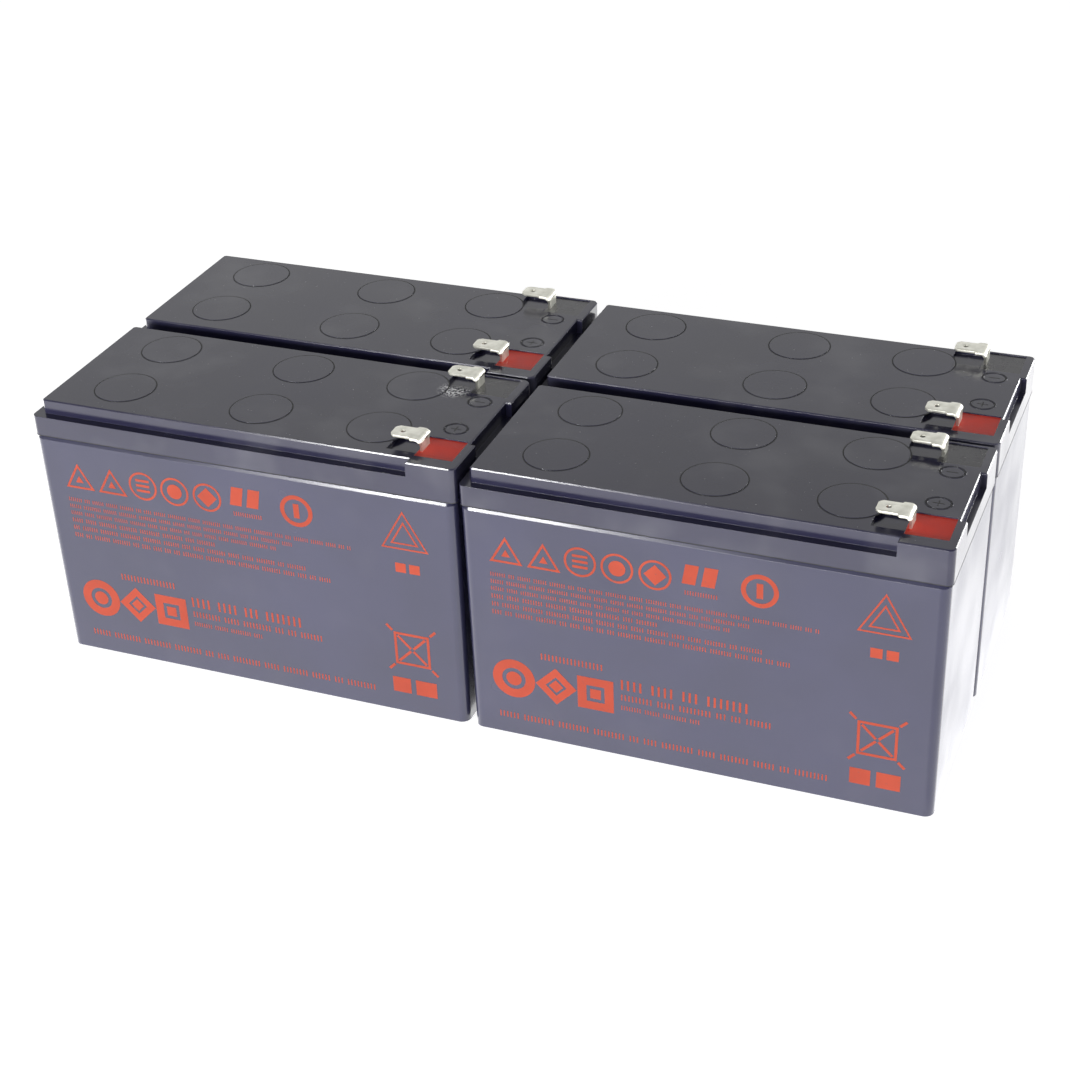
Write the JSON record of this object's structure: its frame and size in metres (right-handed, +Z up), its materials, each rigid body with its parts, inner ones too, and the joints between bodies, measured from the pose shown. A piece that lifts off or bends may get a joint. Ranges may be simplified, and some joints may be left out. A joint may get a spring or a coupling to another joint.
{
  "type": "ups battery cartridge",
  "caption": "Set of like sealed lead-acid batteries standing two wide and two deep, with flat push-on tabs at one end of each lid.",
  "frame": {"origin": "middle of the set's base", "axes": "+Z up, +X along the batteries towards their terminal ends, +Y to the back row"},
  "size_m": [0.3028, 0.1294, 0.0982],
  "materials": {
    "jar_plastic": "fine moulded grain, dark grey",
    "lid_plastic": "fine moulded grain, dark grey",
    "cover_plastic": "smooth, dark grey",
    "red_resin": "poured resin, red",
    "black_resin": "poured resin, black",
    "tinned_brass": "bright tin plate",
    "lead": "dull cast lead",
    "positive_paste": "brown pasted plate",
    "negative_paste": "grey pasted plate",
    "glass_mat": "white glass mat",
    "cap_rubber": "soft black rubber",
    "orange_ink": "screen-printed orange-red ink"
  },
  "bodies": {
    "root": {"front_left_container": "jar_plastic", "front_left_lid": "lid_plastic", "front_left_positive_seal": "red_resin", "front_left_negative_seal": "black_resin", "front_left_positive_terminal": "tinned_brass", "front_left_negative_terminal": "tinned_brass", "front_left_positive_post": "lead", "front_left_negative_post": "lead", "front_left_positive_plates": "positive_paste", "front_left_negative_plates": "negative_paste", "front_left_separators": "glass_mat", "front_left_cell_links": "lead", "front_right_container": "jar_plastic", "front_right_lid": "lid_plastic", "front_right_positive_seal": "red_resin", "front_right_negative_seal": "black_resin", "front_right_positive_terminal": "tinned_brass", "front_right_negative_terminal": "tinned_brass", "front_right_positive_post": "lead", "front_right_negative_post": "lead", "front_right_positive_plates": "positive_paste", "front_right_negative_plates": "negative_paste", "front_right_separators": "glass_mat", "front_right_cell_links": "lead", "back_left_container": "jar_plastic", "back_left_lid": "lid_plastic", "back_left_positive_seal": "red_resin", "back_left_negative_seal": "black_resin", "back_left_positive_terminal": "tinned_brass", "back_left_negative_terminal": "tinned_brass", "back_left_positive_post": "lead", "back_left_negative_post": "lead", "back_left_positive_plates": "positive_paste", "back_left_negative_plates": "negative_paste", "back_left_separators": "glass_mat", "back_left_cell_links": "lead", "back_right_container": "jar_plastic", "back_right_lid": "lid_plastic", "back_right_positive_seal": "red_resin", "back_right_negative_seal": "black_resin", "back_right_positive_terminal": "tinned_brass", "back_right_negative_terminal": "tinned_brass", "back_right_positive_post": "lead", "back_right_negative_post": "lead", "back_right_positive_plates": "positive_paste", "back_right_negative_plates": "negative_paste", "back_right_separators": "glass_mat", "back_right_cell_links": "lead", "vent_covers": "cover_plastic", "valve_caps": "cap_rubber"}
  },
  "joints": []
}
